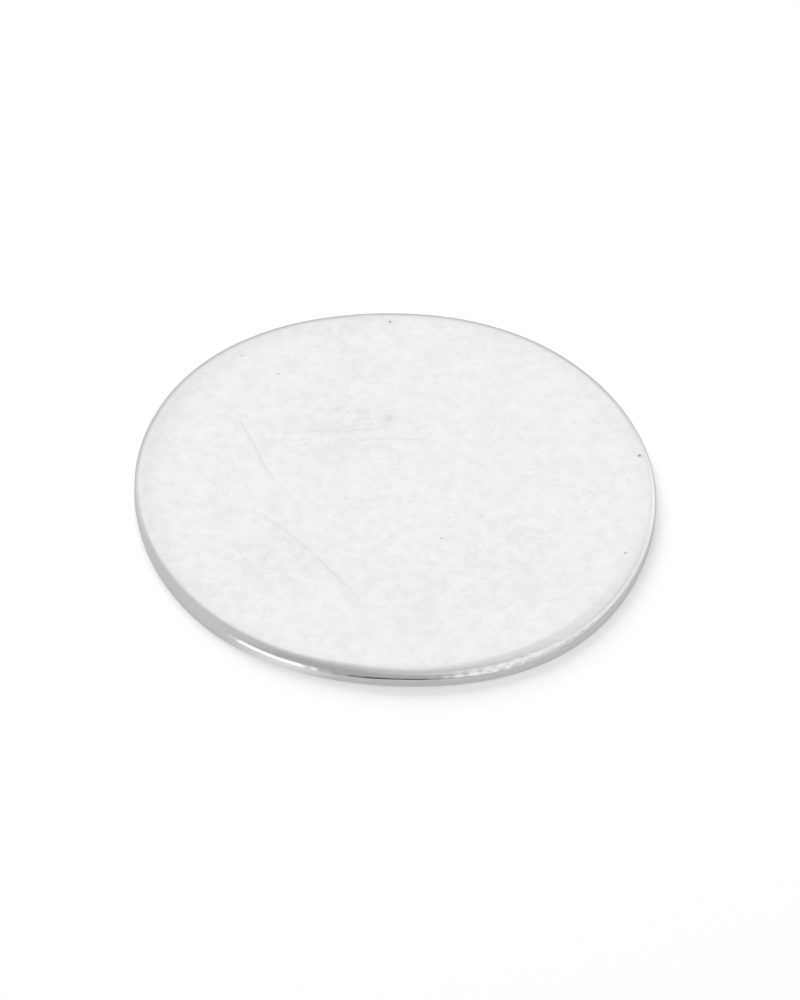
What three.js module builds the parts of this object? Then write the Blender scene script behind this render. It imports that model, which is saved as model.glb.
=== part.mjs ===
// A round flat metal blank, as a jeweller buys it to stamp, engrave or enamel: one piece, punched out of
// rolled silver sheet and tumbled. Millimetres, +Z up. The origin is the centre of the underside, which is
// the flat face that the blank rests on, so the blank fills Z from 0 to THICKNESS.
import * as THREE from "three";

// Driving dimensions.
const DIAMETER = 22.2; // 7/8 inch across
const THICKNESS = 0.64; // 22 gauge sheet
const DIE_ROLL_WIDTH = 0.5; // how far in from the edge wall the punch drew the top face down
const DIE_ROLL_DEPTH = 0.26; // how far the top of the edge wall lies below the top face
const LOWER_EDGE_RADIUS = 0.06; // what tumbling left of the sharp lower corner

// How finely the round shapes are cut into facets.
const TURN_STEPS = 144;
const DIE_ROLL_STEPS = 9;
const LOWER_EDGE_STEPS = 4;

const RADIUS = DIAMETER / 2;
const QUARTER_TURN = Math.PI / 2;

// Points on a quarter of an ellipse about centre, from one angle to the other, both ends included.
function quarterEllipse(centre, halfWidth, halfHeight, fromAngle, toAngle, steps) {
  const points = [];
  for (let step = 0; step <= steps; step++) {
    const angle = THREE.MathUtils.lerp(fromAngle, toAngle, step / steps);
    const reach = new THREE.Vector2(halfWidth * Math.cos(angle), halfHeight * Math.sin(angle));
    points.push(centre.clone().add(reach));
  }
  return points;
}

// Half of the blank's cross-section, as radius and height, from the axis at the underside, out round the
// edge and back to the axis at the top face.
function crossSection() {
  const lowerEdgeCentre = new THREE.Vector2(RADIUS - LOWER_EDGE_RADIUS, LOWER_EDGE_RADIUS);
  const dieRollCentre = new THREE.Vector2(RADIUS - DIE_ROLL_WIDTH, THICKNESS - DIE_ROLL_DEPTH);
  return [
    new THREE.Vector2(0, 0),
    ...quarterEllipse(
      lowerEdgeCentre,
      LOWER_EDGE_RADIUS,
      LOWER_EDGE_RADIUS,
      -QUARTER_TURN,
      0,
      LOWER_EDGE_STEPS,
    ),
    ...quarterEllipse(
      dieRollCentre,
      DIE_ROLL_WIDTH,
      DIE_ROLL_DEPTH,
      0,
      QUARTER_TURN,
      DIE_ROLL_STEPS,
    ),
    new THREE.Vector2(0, THICKNESS),
  ];
}

function makeDiscBlank() {
  const geometry = new THREE.LatheGeometry(crossSection(), TURN_STEPS);
  geometry.rotateX(QUARTER_TURN); // the lathe turns about +Y, and the blank's axis is +Z
  const satinSilver = new THREE.MeshStandardMaterial({
    color: 0xe6e4e1,
    roughness: 0.42,
    metalness: 1,
  });
  const disc = new THREE.Mesh(geometry, satinSilver);
  disc.name = "disc_blank";
  return disc;
}

const blank = new THREE.Group();
blank.add(makeDiscBlank());

export default blank;
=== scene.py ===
"""The looks of a round silver blank: punched from sheet, tumbled, and a little scratched and pitted.

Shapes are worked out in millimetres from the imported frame, and turned into metres as the mesh is made.
The face and the underside are fine triangle meshes, denser round each scratch and pit, so that the marks
are real shape. The rolled rim, the edge wall and the lower corner are rings of points between them.
"""

import math

import bpy
import numpy as np
from mathutils import Matrix, Vector
from mathutils.geometry import delaunay_2d_cdt


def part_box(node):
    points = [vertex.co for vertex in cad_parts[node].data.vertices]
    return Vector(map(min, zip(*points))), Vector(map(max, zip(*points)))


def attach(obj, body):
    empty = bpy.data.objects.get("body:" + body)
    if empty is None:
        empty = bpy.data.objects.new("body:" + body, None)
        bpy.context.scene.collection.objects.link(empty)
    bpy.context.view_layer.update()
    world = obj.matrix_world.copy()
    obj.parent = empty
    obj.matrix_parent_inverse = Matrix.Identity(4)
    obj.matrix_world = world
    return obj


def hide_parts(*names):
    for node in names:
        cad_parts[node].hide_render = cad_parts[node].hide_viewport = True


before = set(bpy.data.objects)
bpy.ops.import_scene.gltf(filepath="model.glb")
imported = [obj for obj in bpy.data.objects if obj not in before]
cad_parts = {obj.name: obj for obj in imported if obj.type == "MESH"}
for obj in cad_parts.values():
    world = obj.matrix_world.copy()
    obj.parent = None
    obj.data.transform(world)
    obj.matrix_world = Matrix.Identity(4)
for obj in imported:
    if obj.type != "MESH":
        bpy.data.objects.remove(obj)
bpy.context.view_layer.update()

MM = 0.001
TURN = 2 * math.pi
NODE = "disc_blank"
LOW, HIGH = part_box(NODE)
RADIUS = (HIGH.x - LOW.x) / 2 / MM
THICKNESS = (HIGH.z - LOW.z) / MM
RANDOM = np.random.default_rng(22)

# How the edge changes round the blank: the angle in degrees (0 is +X), the width and depth of the rolled-over
# upper rim in mm, and how far a bevel takes the roll's place. The punch sat a little off centre.
EDGE = (
    (-165, 0.38, 0.25, 0.0),
    (-145, 0.45, 0.36, 0.0),
    (-130, 0.5, 0.52, 0.0),
    (-115, 0.52, 0.58, 0.0),
    (-106, 0.54, 0.57, 0.0),
    (-98, 0.57, 0.45, 0.0),
    (-90, 0.58, 0.28, 0.0),
    (-80, 0.58, 0.27, 0.1),
    (-70, 0.6, 0.27, 0.55),
    (-60, 0.6, 0.27, 0.92),
    (-40, 0.6, 0.27, 1.0),
    (-28, 0.6, 0.27, 0.75),
    (-12, 0.5, 0.25, 0.2),
    (0, 0.45, 0.25, 0.0),
    (90, 0.5, 0.16, 0.0),
    (150, 0.5, 0.2, 0.0),
)
EDGE_BLUR = 5
# The roll also wanders a little: by these shares of its width and depth, in so many waves round the edge.
WIDTH_WOBBLE = 0.03
WIDTH_WAVES = (3, 30)
DEPTH_WOBBLE = 0.04
DEPTH_WAVES = (2, 24)
# The bevel, its ridge and the wall under it: (distance in from the wall's foot, drop below the top), mm.
BEVEL = (
    (0.77, 0),
    (0.71, 0.007),
    (0.53, 0.047),
    (0.35, 0.09),
    (0.26, 0.126),
    (0.19, 0.17),
    (0.14, 0.215),
    (0.09, 0.279),
    (0.05, 0.354),
    (0.02, 0.46),
)
CORNER_RADIUS = 0.04
# The share of the roll over which the face's finish gives way to the rim's.
RIM_BLEND = 0.6

# The blank isn't quite round: (lobes round the edge, their height in mm, where one of them is in degrees).
LOBES = ((1, 0.03, 90), (2, 0.016, -14), (3, 0.045, 51), (4, 0.095, -42), (5, 0.03, 13), (6, 0.03, 5))
# Chatter left short dents along one stretch of the ridge, and shallower ones elsewhere. The angle and the
# spread are in degrees, the heights in mm, and the waves are the fewest and the most round the whole edge.
CHATTER = {"angle": -52, "spread": 22, "height": 0.0062, "elsewhere": 0.001, "waves": (52, 120)}
# Fine upright streaks on the sheared wall.
STRIATION_HEIGHT = 0.0015
STRIATION_WAVES = (170, 400)
STRIATION_COUNT = 24

# How fine the mesh is: mm along the surface, or a count.
FACE_PITCH = 0.15
UNDERSIDE_PITCH = 0.24
TURN_STEPS = 960
ROLL_STEPS = 20
WALL_STEPS = 7
CORNER_STEPS = 4
BEVEL_SPACING = 0.001
MARK_GAP = 0.013
# Shares of a step: how far the grid's points are shaken, and how near they may come to the border.
GRID_SHAKE = 0.12
BORDER_ROOM = 0.6
# Points nearer than this would be merged.
SAME_PLACE = 1e-7

# Low waves in the two flat faces: their heights and the ranges of their lengths, mm, and a count.
RELIEF_HEIGHT = 0.0006
RELIEF_LENGTHS = (0.35, 1.6)
SWAY_HEIGHT = 0.003
SWAY_LENGTHS = (4.0, 12.0)
SWAY_COUNT = 12

# Where the faces lie in the texture square: (centre, width), with room in mm for an outline that isn't round.
UV_TOP = ((0.32, 0.68), 0.61)
UV_UNDER = ((0.825, 0.815), 0.33)
UV_SPARE = 0.1
# The edge lies below them, in four level strips of this height with gaps between.
UV_STRIPS = 4
UV_STRIP = 0.062
UV_GAP = 0.014

# Scratches on the face: points in mm from the centre, half-width mm, depth mm, darkness.
LONG_SCRATCH = ((-6.6, -1.75), (-5.6, -2.2), (-4.5, -3.05), (-3.5, -4.05), (-2.6, -5.1), (-0.95, -7.05))
SCRATCHES = (
    (LONG_SCRATCH, 0.095, 0.0035, 0.08),
    (((-7.05, 3.9), (-6.55, 2.8), (-6.1, 1.8), (-5.6, 0.65), (-4.9, -0.4)), 0.065, 0.0025, 0.085),
    (((-5.95, 6.6), (-5.85, 5.6), (-5.7, 4.5)), 0.06, 0.0015, 0.035),
    (((-5.05, 2.8), (-3.2, 3.15), (-1.5, 3.7)), 0.065, 0.002, 0.065),
    (((-4.1, 2.85), (-2.2, 3.2), (-0.4, 3.5)), 0.065, 0.002, 0.06),
    (((-3.85, 4.3), (-3.1, 4.4), (-2.4, 4.7)), 0.075, 0.0015, 0.05),
    (((-2.2, 4.3), (-1.5, 4.5), (-0.8, 4.6)), 0.08, 0.0015, 0.05),
    (((-2.1, 3.9), (-1.4, 4.0), (-0.7, 4.1)), 0.07, 0.0015, 0.045),
    (((-3.3, 3.6), (-2.7, 3.75), (-2.0, 3.8)), 0.07, 0.0015, 0.045),
    (((-4.8, 2.05), (-4.2, 2.15), (-3.6, 2.4)), 0.07, 0.0015, 0.045),
    (((-2.4, 2.5), (-1.0, 2.8), (0.1, 2.85), (1.4, 2.9)), 0.07, 0.002, 0.06),
    (((-2.0, 2.15), (-1.2, 2.2), (-0.2, 2.5)), 0.075, 0.0015, 0.045),
    (((0.7, 3.6), (1.0, 3.3), (1.35, 3.05)), 0.06, 0.0015, 0.04),
    (((6.1, -2.8), (6.15, -3.3), (6.3, -3.9)), 0.055, 0.0015, 0.035),
    (((4.6, -7.2), (4.95, -7.4), (5.35, -7.7)), 0.055, 0.0015, 0.035),
    (((-7.35, -2.6), (-7.1, -2.1), (-6.75, -1.8)), 0.06, 0.0015, 0.04),
    (((5.7, -2.3), (6.1, -2.28), (6.5, -2.32)), 0.06, 0.002, 0.05),
)
# The mesh's points on a scratch: mm apart along it, and their places across it in half-widths.
SCRATCH_ALONG = 0.06
SCRATCH_ACROSS = (-3.0, -1.6, -0.8, 0.0, 0.8, 1.6, 3.0)

# Pits in the face: x, y, radius and depth in mm, and darkness.
PITS = (
    (-0.7, 10.25, 0.06, 0.03, 0.75),
    (-5.4, 6.5, 0.055, 0.02, 0.45),
    (-7.05, 7.5, 0.055, 0.015, 0.35),
    (-0.45, 4.15, 0.16, 0.01, 0.1),
    (-4.9, 2.8, 0.05, 0.007, 0.17),
    (-2.1, -0.9, 0.06, 0.01, 0.2),
    (2.0, -2.95, 0.05, 0.02, 0.5),
    (10.3, 2.7, 0.065, 0.035, 1.0),
    (9.7, -3.2, 0.055, 0.025, 0.6),
    (8.0, -0.9, 0.05, 0.01, 0.2),
    (9.3, -1.7, 0.05, 0.01, 0.2),
    (2.3, -1.7, 0.06, 0.007, 0.15),
    (3.6, -1.5, 0.05, 0.007, 0.15),
    (4.0, 3.7, 0.06, 0.007, 0.2),
    (3.6, 1.6, 0.06, 0.006, 0.15),
    (4.5, 6.5, 0.06, 0.006, 0.12),
    (1.4, -3.85, 0.05, 0.007, 0.15),
    (1.85, -6.85, 0.05, 0.007, 0.17),
    (6.1, -5.6, 0.05, 0.007, 0.17),
    (7.5, 0.55, 0.07, 0.004, 0.1),
    (-9.15, -1.8, 0.05, 0.007, 0.15),
)
# The mesh's points in a pit: rings, in radii of the pit, and how many points a ring of one radius has.
PIT_RINGS = (0.0, 0.4, 0.8, 1.2, 1.7)
PIT_RING_POINTS = 7

# Faint clouding of the face: x, y and radius in mm, and strength.
CLOUDS = (
    (-0.45, 4.15, 0.3, 0.34),
    (-5.0, -4.6, 1.6, 0.16),
    (4.6, -3.9, 1.8, 0.1),
    (1.4, -6.8, 1.7, 0.12),
    (-2.4, 3.2, 1.9, 0.16),
    (-2.2, 6.2, 0.8, 0.12),
    (9.0, 4.4, 0.8, 0.14),
    (-3.0, 10.0, 1.3, 0.2),
)

# Seeded small marks: count, and ranges of length or radius in mm, and darkness.
MARKED_RADIUS = RADIUS - 0.8
FACE_SPECKS = {"count": 240, "radius": (0.03, 0.065), "darkness": (0.03, 0.13)}
FACE_HAIRLINES = {"count": 44, "length": (0.6, 3.2), "darkness": (0.012, 0.035)}
UNDERSIDE_SPECKS = {"count": 40, "radius": (0.04, 0.07), "darkness": (0.15, 0.5)}
UNDERSIDE_HAIRLINES = {"count": 22, "length": (1.5, 7.0), "darkness": (0.15, 0.4)}
# A speck's depth as a share of its radius, and a hairline's half-width and depth, mm.
SPECK_DEPTH = 0.15
HAIRLINE_HALF_WIDTH = 0.035
HAIRLINE_DEPTH = 0.001
# How far out a hairline's middle may lie, and how much it may bend, as shares.
HAIRLINE_REACH = 0.8
HAIRLINE_BEND = 0.08


# ---------------------------------------------------------------- curves, waves and falloffs


def smoothstep(low, high, value):
    share = np.clip((value - low) / (high - low), 0, 1)
    return share * share * (3 - 2 * share)


def bell(distance, spread):
    return np.exp(-((distance / spread) ** 2))


def angle_between(angle, degrees):
    """The unsigned angle in degrees from each angle, in radians, to a direction in degrees."""
    turned = np.degrees(angle) - degrees
    return np.abs((turned + 180) % 360 - 180)


def ring_waves(angle, low, high, count=14):
    """A smooth closed wave round the edge, about 1 high, from whole numbers of waves between low and high."""
    total = np.zeros_like(angle)
    for _ in range(count):
        total += np.cos(RANDOM.integers(low, high + 1) * angle + RANDOM.uniform(0, TURN))
    return total / math.sqrt(count)


class Relief:
    """A smooth random height over the plane, about 1 high, made of waves of the given lengths in mm."""

    def __init__(self, shortest, longest, count=36):
        way = RANDOM.uniform(0, TURN, count)
        size = TURN / RANDOM.uniform(shortest, longest, count)
        self.steps = np.stack([np.cos(way), np.sin(way)]) * size
        self.starts = RANDOM.uniform(0, TURN, count)
        self.scale = 1 / math.sqrt(count)

    def __call__(self, points):
        return np.cos(points @ self.steps + self.starts).sum(1) * self.scale


def through(points, spacing):
    """A smooth curve through the points (Catmull-Rom), with a sample about every spacing mm."""
    knots = [np.array(p, float) for p in points]
    knots = [2 * knots[0] - knots[1], *knots, 2 * knots[-1] - knots[-2]]
    samples = []
    for a, b, c, d in zip(knots, knots[1:], knots[2:], knots[3:]):
        steps = max(2, round(float(np.linalg.norm(c - b)) / spacing))
        t = np.linspace(0, 1, steps, endpoint=False)[:, None]
        bend = (2 * a - 5 * b + 4 * c - d) * t**2 + (3 * b - a - 3 * c + d) * t**3
        samples.append(0.5 * (2 * b + (c - a) * t + bend))
    samples.append(knots[-2][None])
    return np.concatenate(samples)


# ---------------------------------------------------------------- scratches and pits


class Scratch:
    """A groove along a curve, with a low burr on each side, that fades out at both ends."""

    # In half-widths of the groove, apart from the two shares.
    BURR_SHARE = 0.3
    BURR_PLACE = 2.0
    BURR_SPREAD = 0.7
    WEAR_SPREAD = 0.9
    REACH = 4
    FADE_SHARE = 0.18

    def __init__(self, points, half_width, depth, darkness):
        self.line = through(points, SCRATCH_ALONG)
        self.half_width, self.depth, self.darkness = half_width, depth, darkness
        share = np.linspace(0, 1, len(self.line))
        self.strength = smoothstep(0, self.FADE_SHARE, share) * smoothstep(0, self.FADE_SHARE, 1 - share)

    def mesh_points(self):
        along = np.gradient(self.line, axis=0)
        across = np.stack([-along[:, 1], along[:, 0]], 1) / np.linalg.norm(along, axis=1)[:, None]
        return np.concatenate([self.line + across * self.half_width * place for place in SCRATCH_ACROSS])

    def apply(self, points, height, wear):
        reach = self.REACH * self.half_width + SCRATCH_ALONG
        low, high = self.line.min(0) - reach, self.line.max(0) + reach
        near = np.flatnonzero(((points > low) & (points < high)).all(1))
        if not len(near):
            return
        gaps = points[near][:, None] - self.line[None]
        distance = np.sqrt((gaps**2).sum(2))
        closest = distance.argmin(1)
        distance = distance.min(1) / self.half_width
        strength = self.strength[closest]
        groove = bell(distance, 1.0) - self.BURR_SHARE * bell(distance - self.BURR_PLACE, self.BURR_SPREAD)
        height[near] -= self.depth * strength * groove
        wear[near] = np.maximum(wear[near], self.darkness * strength * bell(distance, self.WEAR_SPREAD))


class Pit:
    """A small round bowl."""

    # In radii of the pit.
    BOWL_SPREAD = 0.75
    WEAR_SPREAD = 0.85

    def __init__(self, x, y, radius, depth, darkness):
        self.centre = np.array([x, y])
        self.radius, self.depth, self.darkness = radius, depth, darkness

    def mesh_points(self):
        points = []
        for ring in PIT_RINGS:
            count = max(1, round(PIT_RING_POINTS * ring))
            angle = np.arange(count) * TURN / count + ring
            points.append(self.centre + ring * self.radius * np.stack([np.cos(angle), np.sin(angle)], 1))
        return np.concatenate(points)

    def apply(self, points, height, wear):
        distance = np.linalg.norm(points - self.centre, axis=1) / self.radius
        height -= self.depth * bell(distance, self.BOWL_SPREAD)
        np.maximum(wear, self.darkness * bell(distance, self.WEAR_SPREAD), out=wear)


def random_place(limit):
    angle, reach = RANDOM.uniform(0, TURN), limit * math.sqrt(RANDOM.uniform(0, 1))
    return np.array([reach * math.cos(angle), reach * math.sin(angle)])


def random_specks(kind, limit):
    specks = []
    for _ in range(kind["count"]):
        radius = RANDOM.uniform(*kind["radius"])
        darkness = RANDOM.uniform(*kind["darkness"])
        specks.append(Pit(*random_place(limit), radius, radius * SPECK_DEPTH, darkness))
    return specks


def random_hairlines(kind, limit):
    lines = []
    for _ in range(kind["count"]):
        middle, way = random_place(limit * HAIRLINE_REACH), RANDOM.uniform(0, math.pi)
        half = RANDOM.uniform(*kind["length"]) / 2 * np.array([math.cos(way), math.sin(way)])
        bend = RANDOM.uniform(-HAIRLINE_BEND, HAIRLINE_BEND) * np.array([-half[1], half[0]])
        points = (middle - half, middle + bend, middle + half)
        if all(np.hypot(*p) < limit for p in points):
            darkness = RANDOM.uniform(*kind["darkness"])
            lines.append(Scratch(points, HAIRLINE_HALF_WIDTH, HAIRLINE_DEPTH, darkness))
    return lines


# ---------------------------------------------------------------- the edge's rings


def outline(angle):
    """The edge wall's radius at each angle, mm."""
    radius = np.full_like(angle, RADIUS)
    for waves, height, degrees in LOBES:
        radius += height * np.cos(waves * (angle - math.radians(degrees)))
    return radius


def edge_shape(angle):
    """The roll's width and depth, and the bevel's share, at each angle."""
    knots = np.array(EDGE)
    weight = bell(angle_between(angle, 0), EDGE_BLUR)
    blur = np.fft.rfft(weight / weight.sum())
    columns = [np.interp(np.degrees(angle), knots[:, 0], column, period=360) for column in knots.T[1:]]
    return [np.fft.irfft(np.fft.rfft(column) * blur, len(angle)) for column in columns]


def edge_chatter(angle):
    share = bell(angle_between(angle, CHATTER["angle"]), CHATTER["spread"])
    height = CHATTER["elsewhere"] + (CHATTER["height"] - CHATTER["elsewhere"]) * share
    return height * ring_waves(angle, *CHATTER["waves"])


def roll_rings(angle, wall):
    """Rings of (radius, height, rim share) from the flat's border down to the top of the wall.

    The chatter is deepest about two thirds of the way down, where the ridge is.
    """
    width, depth, bevelled = edge_shape(angle)
    width = width * (1 + WIDTH_WOBBLE * ring_waves(angle, *WIDTH_WAVES))
    depth = depth * (1 + DEPTH_WOBBLE * ring_waves(angle, *DEPTH_WAVES))
    chatter = edge_chatter(angle)
    bevel = through(BEVEL, BEVEL_SPACING)
    bevel = bevel[np.linspace(0, len(bevel) - 1, ROLL_STEPS + 1).round().astype(int)]
    rings = []
    for step, (bevel_inset, bevel_drop) in enumerate(bevel):
        share = step / ROLL_STEPS
        turn = share * math.pi / 2
        dent = chatter * math.sin(math.pi * share**2) ** 2
        inset = (1 - bevelled) * width * (1 - math.sin(turn)) + bevelled * bevel_inset + dent
        drop = (1 - bevelled) * depth * (1 - math.cos(turn)) + bevelled * bevel_drop + dent
        rings.append((wall - inset, THICKNESS - drop, float(smoothstep(0.0, RIM_BLEND, share))))
    return rings


def edge_rings(angle):
    """Rings of (radius, height, rim share), from the flat's border out and down to the underside's."""
    wall = outline(angle)
    rings = roll_rings(angle, wall)
    wall_top, top = rings[-1][:2]
    for step in range(1, WALL_STEPS + 1):
        share = step / WALL_STEPS
        streaks = STRIATION_HEIGHT * ring_waves(angle, *STRIATION_WAVES, count=STRIATION_COUNT)
        radius = wall_top + (wall - wall_top) * share - streaks
        rings.append((radius, top + (CORNER_RADIUS - top) * share, 1.0))
    for step in range(1, CORNER_STEPS + 1):
        turn = step / CORNER_STEPS * math.pi / 2
        radius = wall - CORNER_RADIUS * (1 - math.cos(turn))
        height = np.full_like(angle, CORNER_RADIUS * (1 - math.sin(turn)))
        rings.append((radius, height, 1.0 - step / CORNER_STEPS))
    return rings


# ---------------------------------------------------------------- the flat faces' triangles


def cells(points, size):
    return map(tuple, np.floor(points / size).astype(int))


def spread_out(points, gap):
    """The points, less those that share a cell of size gap with an earlier one."""
    seen, kept = set(), []
    for point, cell in zip(points, cells(points, gap)):
        if cell not in seen:
            seen.add(cell)
            kept.append(point)
    return np.array(kept)


def hex_grid(pitch, limit):
    rows = math.ceil(limit / (pitch * math.sqrt(0.75)))
    columns = math.ceil(limit / pitch) + 1
    row, column = np.mgrid[-rows : rows + 1, -columns : columns + 1]
    x = (column + 0.5 * (row % 2)) * pitch
    y = row * pitch * math.sqrt(0.75)
    shake = RANDOM.uniform(-GRID_SHAKE, GRID_SHAKE, (x.size, 2)) * pitch
    return np.stack([x.ravel(), y.ravel()], 1) + shake


def flat_mesh(border, marks, pitch):
    """Points and triangles that fill the border, denser at the marks. The border's points come first."""
    fine = spread_out(np.concatenate([mark.mesh_points() for mark in marks]), MARK_GAP)
    near = {(i + a, j + b) for i, j in cells(fine, pitch / 2) for a in (-1, 0, 1) for b in (-1, 0, 1)}
    coarse = hex_grid(pitch, float(np.abs(border).max()))
    coarse = np.array([p for p, cell in zip(coarse, cells(coarse, pitch / 2)) if cell not in near])
    inner = np.concatenate([fine, coarse])
    border_angle, inner_angle = np.arctan2(*border.T[::-1]), np.arctan2(*inner.T[::-1])
    limit = np.interp(inner_angle, border_angle, np.hypot(*border.T), period=TURN)
    inner = inner[np.hypot(*inner.T) < limit - BORDER_ROOM * TURN * RADIUS / TURN_STEPS]
    points = [Vector(p) for p in np.concatenate([border, inner])]
    found = delaunay_2d_cdt(points, [], [list(range(len(border)))], 1, SAME_PLACE, False)
    places, triangles = found[0], found[2]
    assert len(places) == len(points), "two points of a face's mesh lie in one place"
    return inner, triangles


# ---------------------------------------------------------------- the disc


def face_marks():
    marks = [Scratch(*scratch) for scratch in SCRATCHES] + [Pit(*pit) for pit in PITS]
    return marks + random_specks(FACE_SPECKS, MARKED_RADIUS) + random_hairlines(FACE_HAIRLINES, MARKED_RADIUS)


def underside_marks():
    specks = random_specks(UNDERSIDE_SPECKS, MARKED_RADIUS)
    return specks + random_hairlines(UNDERSIDE_HAIRLINES, MARKED_RADIUS)


class Surface:
    """The small heights of the face or the underside, and its wear, at any flat points."""

    def __init__(self, marks):
        self.marks = marks
        self.relief = Relief(*RELIEF_LENGTHS)
        self.sway = Relief(*SWAY_LENGTHS, SWAY_COUNT)

    def __call__(self, points):
        height = RELIEF_HEIGHT * self.relief(points) + SWAY_HEIGHT * self.sway(points)
        wear = np.zeros(len(points))
        for mark in self.marks:
            mark.apply(points, height, wear)
        return height, wear


def edge_points(way, rings, face):
    """The rings' points, with the face's heights fading out down the roll, and their wear and rim share."""
    places, wears, rims = [], [], []
    for radius, height, rim in rings:
        flat = way * radius[:, None]
        bump, wear = face(flat)
        share = 1 - rim if height.mean() > THICKNESS / 2 else 0.0
        places.append(np.column_stack([flat, height + bump * share]))
        wears.append(wear * share)
        rims.append(np.full(TURN_STEPS, rim))
    return np.concatenate(places), np.concatenate(wears), np.concatenate(rims)


def edge_faces(ring_count):
    """Quads between each ring and the next."""
    step = np.arange(TURN_STEPS)
    after = (step + 1) % TURN_STEPS
    quads = []
    for start in range(0, (ring_count - 1) * TURN_STEPS, TURN_STEPS):
        below = start + TURN_STEPS
        quads += np.stack([start + step, below + step, below + after, start + after], 1).tolist()
    return quads


def flat_faces(triangles, border_start, inner_start, flip=False):
    """A flat mesh's triangles, with its border's and its inner points' numbers in the whole mesh."""
    corners = np.array(triangles)
    corners += np.where(corners < TURN_STEPS, border_start, inner_start - TURN_STEPS)
    return (corners[:, ::-1] if flip else corners).tolist()


def edge_uvs(rings):
    """Level strips, one above another, each an equal stretch of the edge."""
    profile = np.array([(radius.mean(), height.mean()) for radius, height, _ in rings])
    lengths = np.linalg.norm(np.diff(profile, axis=0), axis=1)
    across = 1 - np.concatenate([[0], np.cumsum(lengths)]) / lengths.sum()
    stretch = TURN_STEPS // UV_STRIPS
    strip, along = np.divmod(np.arange(TURN_STEPS), stretch)
    low = UV_GAP + strip * (UV_STRIP + UV_GAP)
    left = UV_GAP + (1 - 2 * UV_GAP) * along / stretch
    right = left + (1 - 2 * UV_GAP) / stretch
    uvs = []
    for upper, lower in zip(across, across[1:]):
        near, far = low + UV_STRIP * upper, low + UV_STRIP * lower
        uvs.append(np.stack([left, near, left, far, right, far, right, near], 1).reshape(-1, 2))
    return np.concatenate(uvs)


def flat_uvs(corners, centre, size):
    return np.array(centre) + corners[:, :2] * size / (2 * (RADIUS + UV_SPARE))


def border_share(places):
    """How far each point is into the darker border, most of all along one side, where it is painted shade."""
    angle = np.arctan2(places[:, 1], places[:, 0])
    flat_radius = RADIUS - BORDER_START
    share = smoothstep(flat_radius - BORDER_WIDTH, flat_radius, np.hypot(places[:, 0], places[:, 1]))
    side_shade = bell(angle_between(angle, SHADED_BORDER["angle"]), SHADED_BORDER["spread"])
    return share * (SHADED_BORDER["elsewhere"] + (1 - SHADED_BORDER["elsewhere"]) * side_shade)


def clouding(places):
    total = np.zeros(len(places))
    for x, y, radius, strength in CLOUDS:
        total += strength * bell(np.hypot(places[:, 0] - x, places[:, 1] - y), radius)
    return total * (places[:, 2] > THICKNESS / 2)


def add_object(name, data):
    """A new object in the scene."""
    item = bpy.data.objects.new(name, data)
    bpy.context.scene.collection.objects.link(item)
    return item


def add_attribute(mesh, name, values):
    layer = mesh.attributes.new(name, "FLOAT", "POINT")
    layer.data.foreach_set("value", np.ascontiguousarray(values, np.float32))


def make_disc():
    angle = np.arange(TURN_STEPS) * TURN / TURN_STEPS
    way = np.stack([np.cos(angle), np.sin(angle)], 1)
    rings = edge_rings(angle)
    face, underside = Surface(face_marks()), Surface(underside_marks())
    top, top_triangles = flat_mesh(way * rings[0][0][:, None], face.marks, FACE_PITCH)
    under, under_triangles = flat_mesh(way * rings[-1][0][:, None], underside.marks, UNDERSIDE_PITCH)

    edge, edge_wear, edge_rim = edge_points(way, rings, face)
    top_height, top_wear = face(top)
    under_height, under_wear = underside(under)
    top = np.column_stack([top, THICKNESS + top_height])
    under = np.column_stack([under, np.maximum(-under_height, 0)])
    places = np.concatenate([edge, top, under])

    top_faces = flat_faces(top_triangles, 0, len(edge))
    under_faces = flat_faces(under_triangles, len(edge) - TURN_STEPS, len(edge) + len(top), flip=True)
    top_uvs = flat_uvs(places[np.ravel(top_faces)], *UV_TOP)
    under_uvs = flat_uvs(places[np.ravel(under_faces)] * (-1, 1, 1), *UV_UNDER)

    mesh = bpy.data.meshes.new("silver_disc")
    mesh.from_pydata((places * MM).tolist(), [], edge_faces(len(rings)) + top_faces + under_faces)
    mesh.shade_smooth()
    layer = mesh.uv_layers.new(name="OFBake")
    layer.data.foreach_set("uv", np.concatenate([edge_uvs(rings), top_uvs, under_uvs]).ravel())
    add_attribute(mesh, "wear", np.concatenate([edge_wear, top_wear, under_wear]))
    add_attribute(mesh, "rim", np.concatenate([edge_rim, np.zeros(len(top) + len(under))]))
    add_attribute(mesh, "border", border_share(places))
    add_attribute(mesh, "clouding", clouding(places))
    return add_object("silver_disc", mesh)


# ---------------------------------------------------------------- node helpers


def add(tree, kind, inputs=(), **settings):
    """A new node with its settings and inputs. An input is (name or number, value or socket)."""
    node = tree.nodes.new(kind)
    for name, value in settings.items():
        setattr(node, name, value)
    for place, value in inputs:
        if isinstance(value, bpy.types.NodeSocket):
            tree.links.new(value, node.inputs[place])
        else:
            node.inputs[place].default_value = value
    return node


def empty_tree(owner):
    """A material's or a world's node tree, with nothing in it."""
    owner.use_nodes = True
    owner.node_tree.nodes.clear()
    return owner.node_tree


def maths(tree, operation, *values):
    return add(tree, "ShaderNodeMath", list(enumerate(values)), operation=operation).outputs[0]


def mix(tree, share, first, second):
    return add(tree, "ShaderNodeMix", [(0, share), (2, first), (3, second)]).outputs[0]


def mix_colours(tree, share, first, second):
    node = add(tree, "ShaderNodeMix", [(0, share), (6, first), (7, second)], data_type="RGBA")
    return node.outputs[2]


def remap(tree, value, from_low, from_high, to_low, to_high):
    ends = [("Value", value), (1, from_low), (2, from_high), (3, to_low), (4, to_high)]
    return add(tree, "ShaderNodeMapRange", ends, interpolation_type="SMOOTHSTEP").outputs[0]


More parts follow.
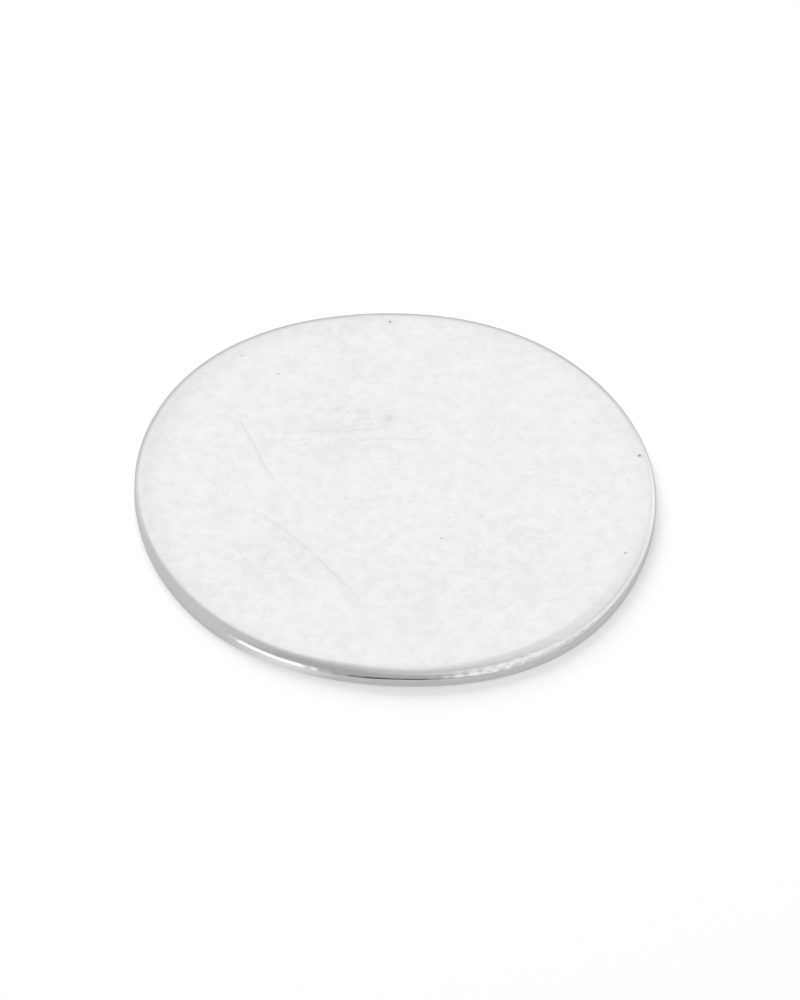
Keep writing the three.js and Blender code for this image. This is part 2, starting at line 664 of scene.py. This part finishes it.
def attribute(tree, name):
    return add(tree, "ShaderNodeAttribute", attribute_name=name).outputs["Fac"]


def noise(tree, place, scale, detail, rough):
    inputs = [("Vector", place), ("Scale", scale), ("Detail", detail), ("Roughness", rough)]
    return add(tree, "ShaderNodeTexNoise", inputs).outputs["Fac"]


# ---------------------------------------------------------------- silver

FACE_COLOUR = (0.918, 0.901, 0.909, 1)
RIM_COLOUR = (0.87, 0.86, 0.842, 1)
BORDER_COLOUR = (0.84, 0.83, 0.82, 1)
# The darker border: how far in from the wall it is full, and the width over which it fades inwards, mm.
# It is darkest towards one side, as painted shade standing in for a darker part of the tent mirrored there:
# the angle and the spread are in degrees, and it has a share elsewhere.
BORDER_START = 0.3
BORDER_WIDTH = 1.1
SHADED_BORDER = {"angle": 165, "spread": 45, "elsewhere": 0.3}
TARNISH_COLOUR = (0.63, 0.61, 0.58, 1)
WORN_COLOUR = (0.10, 0.09, 0.08, 1)

# Noise patterns: scale per mm, detail and roughness. The streaks are drawn out along Z, up the wall.
MOTTLE = (2.2, 5, 0.6)
GRAIN = (6.5, 4, 0.7)
STREAKS = (26, 3, 0.6)
STREAK_SCALE = (1, 1, 0.08)
# How a pattern is remapped: (from low, from high, to low, to high).
CLOUD_TARNISH = (0.35, 0.7, 0.25, 0.75)
GRAIN_TARNISH = (0.35, 0.7, 0, 0.11)
MOTTLE_TARNISH = (0.35, 0.75, 0, 0.05)
FACE_ROUGHNESS = (0.3, 0.7, 0.33, 0.4)
RIM_ROUGHNESS = (0.3, 0.7, 0.11, 0.17)
GRAIN_ROUGHNESS = 0.05
WEAR_ROUGHNESS = 0.25
# The finest texture is a bump: the shares of it that are grain and streaks, and its height.
BUMP_GRAIN = 0.35
BUMP_STREAKS = 0.5
BUMP_HEIGHT = 0.002 * MM


def silver_colour(tree, rim, wear, mottle, grain):
    # The border: a little darker all round, and painted shade along one side.
    colour = mix_colours(tree, attribute(tree, "border"), FACE_COLOUR, BORDER_COLOUR)
    colour = mix_colours(tree, rim, colour, RIM_COLOUR)
    tarnish = maths(tree, "MULTIPLY", attribute(tree, "clouding"), remap(tree, mottle, *CLOUD_TARNISH))
    tarnish = maths(tree, "ADD", tarnish, remap(tree, grain, *GRAIN_TARNISH))
    tarnish = maths(tree, "ADD", tarnish, remap(tree, mottle, *MOTTLE_TARNISH))
    colour = mix_colours(tree, tarnish, colour, TARNISH_COLOUR)
    return mix_colours(tree, wear, colour, WORN_COLOUR)


def silver_roughness(tree, rim, wear, mottle, grain, streaks):
    face = maths(tree, "MULTIPLY_ADD", grain, GRAIN_ROUGHNESS, remap(tree, mottle, *FACE_ROUGHNESS))
    rough = mix(tree, rim, face, remap(tree, streaks, *RIM_ROUGHNESS))
    return maths(tree, "ADD", rough, maths(tree, "MULTIPLY", wear, WEAR_ROUGHNESS))


def silver_bump(tree, rim, mottle, grain, streaks):
    face = maths(tree, "ADD", mottle, maths(tree, "MULTIPLY", grain, BUMP_GRAIN))
    face = maths(tree, "MULTIPLY", face, maths(tree, "SUBTRACT", 1.0, rim))
    edge = maths(tree, "MULTIPLY", maths(tree, "MULTIPLY", streaks, rim), BUMP_STREAKS)
    height = maths(tree, "ADD", face, edge)
    return add(tree, "ShaderNodeBump", [("Distance", BUMP_HEIGHT), ("Height", height)]).outputs[0]


def silver():
    material = bpy.data.materials.new("satin_silver")
    tree = empty_tree(material)
    place = add(tree, "ShaderNodeTexCoord").outputs["Object"]
    place = add(tree, "ShaderNodeVectorMath", [(0, place), ("Scale", 1 / MM)], operation="SCALE").outputs[0]
    drawn = add(tree, "ShaderNodeMapping", [("Vector", place), ("Scale", STREAK_SCALE)]).outputs[0]
    mottle = noise(tree, place, *MOTTLE)
    grain = noise(tree, place, *GRAIN)
    streaks = noise(tree, drawn, *STREAKS)
    wear = attribute(tree, "wear")
    rim = attribute(tree, "rim")
    inputs = [
        ("Base Color", silver_colour(tree, rim, wear, mottle, grain)),
        ("Metallic", 1.0),
        ("Roughness", silver_roughness(tree, rim, wear, mottle, grain, streaks)),
        ("Normal", silver_bump(tree, rim, mottle, grain, streaks)),
    ]
    shader = add(tree, "ShaderNodeBsdfPrincipled", inputs)
    add(tree, "ShaderNodeOutputMaterial", [("Surface", shader.outputs[0])])
    return material


# ---------------------------------------------------------------- the studio: floor, light and camera


def direction(azimuth, elevation):
    """Azimuth 0 is towards the camera's side (-Y) and 90 is to its right (+X). Both are in degrees."""
    a, e = math.radians(azimuth), math.radians(elevation)
    return Vector((math.sin(a) * math.cos(e), -math.cos(a) * math.cos(e), math.sin(e)))


# The studio's tent, as the metal sees it. An area is a window of azimuth (centre, half-width) and elevation
# (low, high) in degrees, with soft edges so many degrees wide, and the light that it adds.
TENT_BASE = 0.45
TENT_AREAS = (
    ("back_softbox", -174, 43, 25, 66, 36, 0.68),
    ("back_low", 180, 60, -20, 22, 24, 0.19),
    ("zenith", 180, 200, 76, 110, 20, 0.14),
    ("left_side", -95, 40, -10, 66, 30, 0.18),
    ("right_low", 128, 24, -12, 28, 24, 0.4),
    ("right_middle", 118, 24, 24, 62, 20, 0.34),
    ("right_front", 72, 34, 8, 80, 24, 0.27),
    ("right_high", 103, 32, 60, 75, 14, 0.31),
    ("right_strip", 60, 24, 42, 64, 12, 0.22),
    ("right_dashes", 32, 9, 14, 50, 8, 0.46),
    ("left_strip", -40, 16, -10, 23, 9, 0.82),
    ("camera", 2, 14, -12, 26, 8, -0.41),
)
# The ceiling that lights matt things: its light, and the sine of the elevation where it begins.
CEILING_LIGHT = 0.93
CEILING_EDGE = 0.6
# What the camera sees behind everything.
SEEN_LIGHT = 1.2


def window(tree, value, low, high, blur):
    """1 where the value, in radians, is between low and high, in degrees, and 0 outside, with soft edges."""
    low, high, half = math.radians(low), math.radians(high), math.radians(blur / 2)
    opening = remap(tree, value, low - half, low + half, 0, 1)
    return maths(tree, "MULTIPLY", opening, remap(tree, value, high - half, high + half, 1, 0))


def azimuth_and_height(tree, place):
    """The azimuth of a place or a way, in radians, and its Z."""
    x, y, z = add(tree, "ShaderNodeSeparateXYZ", [(0, place)]).outputs
    return maths(tree, "ARCTAN2", x, maths(tree, "MULTIPLY", y, -1.0)), z


def make_tent():
    """The world: white to the camera, an even ceiling to diffuse light, and the tent to the metal."""
    world = bpy.data.worlds.new("tent")
    bpy.context.scene.world = world
    tree = empty_tree(world)
    way = add(tree, "ShaderNodeTexCoord").outputs["Generated"]
    azimuth, z = azimuth_and_height(tree, way)
    elevation = maths(tree, "ARCSINE", z)
    light = TENT_BASE
    for _, centre, half_width, low, high, blur, amount in TENT_AREAS:
        aside = maths(tree, "SUBTRACT", azimuth, math.radians(centre))
        aside = maths(tree, "WRAP", aside, math.pi, -math.pi)
        area = window(tree, aside, -half_width, half_width, blur)
        area = maths(tree, "MULTIPLY", area, window(tree, elevation, low, high, blur))
        light = maths(tree, "MULTIPLY_ADD", area, amount, light)
    rays = add(tree, "ShaderNodeLightPath").outputs
    ceiling = remap(tree, z, CEILING_EDGE, 1, 0, CEILING_LIGHT)
    light = mix(tree, rays["Diffuse Depth"], light, ceiling)
    light = mix(tree, rays["Is Camera Ray"], light, SEEN_LIGHT)
    background = add(tree, "ShaderNodeBackground", [("Color", (1, 1, 1, 1)), ("Strength", light)])
    add(tree, "ShaderNodeOutputWorld", [("Surface", background.outputs[0])])


# The floor stops short of the plane of the key softbox, behind which the key gives it no light.
FLOOR_SIZE = 0.8
FLOOR_GAP = 0.004 * MM
# What the camera sees, and what the metal sees: the floor's colour, and its glow.
FLOOR_COLOUR = (0.95, 0.25)
FLOOR_GLOW = (0.4, 0.46)
# Where the floor glows more, in the metal: its direction from the disc and its blur in degrees, and how much.
FLOOR_PATCH = {"azimuth": -24, "half_width": 8, "blur": 14, "glow": 0.22}


def floor_glow(tree, seen):
    place = add(tree, "ShaderNodeTexCoord").outputs["Object"]
    azimuth, _ = azimuth_and_height(tree, place)
    low = FLOOR_PATCH["azimuth"] - FLOOR_PATCH["half_width"]
    high = FLOOR_PATCH["azimuth"] + FLOOR_PATCH["half_width"]
    patch = window(tree, azimuth, low, high, FLOOR_PATCH["blur"])
    glow = maths(tree, "MULTIPLY_ADD", patch, FLOOR_PATCH["glow"], FLOOR_GLOW[1])
    return mix(tree, seen, glow, FLOOR_GLOW[0])


def opal_glass():
    material = bpy.data.materials.new("opal_glass")
    tree = empty_tree(material)
    seen = add(tree, "ShaderNodeLightPath").outputs["Is Camera Ray"]
    shade = mix(tree, seen, FLOOR_COLOUR[1], FLOOR_COLOUR[0])
    colour = add(tree, "ShaderNodeCombineColor", [(0, shade), (1, shade), (2, shade)]).outputs[0]
    diffuse = add(tree, "ShaderNodeBsdfDiffuse", [("Color", colour)]).outputs[0]
    glow = add(tree, "ShaderNodeEmission", [("Strength", floor_glow(tree, seen))]).outputs[0]
    both = add(tree, "ShaderNodeAddShader", [(0, diffuse), (1, glow)])
    add(tree, "ShaderNodeOutputMaterial", [("Surface", both.outputs[0])])
    return material


def make_floor():
    """A plain floor of opal glass, lit a little from below. It is whiter to the camera than in the metal."""
    mesh = bpy.data.meshes.new("floor")
    half = FLOOR_SIZE / 2
    height = LOW.z - FLOOR_GAP
    corners = [(-half, -half, height), (half, -half, height), (half, half, height), (-half, half, height)]
    mesh.from_pydata(corners, [], [(0, 1, 2, 3)])
    mesh.materials.append(opal_glass())
    floor = add_object("floor", mesh)


# The key softbox, in metres and watts.
KEY_DISTANCE = 0.5
KEY_SIZE = (0.42, 0.26)
KEY_POWER = 1.7
KEY_DIRECTION = direction(-155, 30)


def make_key():
    """The key softbox, behind and to the left. It lights the floor; the metal mirrors the tent instead."""
    data = bpy.data.lights.new("key_softbox", "AREA")
    data.shape = "RECTANGLE"
    data.size, data.size_y = KEY_SIZE
    data.energy = KEY_POWER
    key = add_object("key_softbox", data)
    key.location = KEY_DIRECTION * KEY_DISTANCE
    key.rotation_mode = "QUATERNION"
    key.rotation_quaternion = KEY_DIRECTION.to_track_quat("Z", "Y")
    key.visible_glossy = False
    key.visible_camera = False


CAMERA_ELEVATION = 44.75
CAMERA_DISTANCE = 16 * RADIUS * MM
CAMERA_LENS = 150.9
CAMERA_ROLL = 3.34
CAMERA_AIM = (0.183 * MM, -0.13 * MM)  # right and up of the origin, as the camera sees it
CAMERA_CLIP = (0.01, 20)


def make_camera():
    data = bpy.data.cameras.new("camera")
    data.lens = CAMERA_LENS
    data.clip_start, data.clip_end = CAMERA_CLIP
    camera = add_object("camera", data)
    elevation = math.radians(CAMERA_ELEVATION)
    right, up = Vector((1, 0, 0)), Vector((0, math.sin(elevation), math.cos(elevation)))
    place = direction(0, CAMERA_ELEVATION) * CAMERA_DISTANCE
    target = right * CAMERA_AIM[0] + up * CAMERA_AIM[1]
    turn = (place - target).to_track_quat("Z", "Y").to_matrix().to_4x4()
    roll = Matrix.Rotation(math.radians(CAMERA_ROLL), 4, "Z")
    camera.matrix_world = Matrix.Translation(place) @ turn @ roll
    bpy.context.scene.camera = camera


# ---------------------------------------------------------------- everything

bpy.context.scene.view_settings.view_transform = "Standard"
make_camera()
make_tent()
make_key()
make_floor()

disc = make_disc()
disc.data.materials.append(silver())
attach(disc, "root")
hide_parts(NODE)
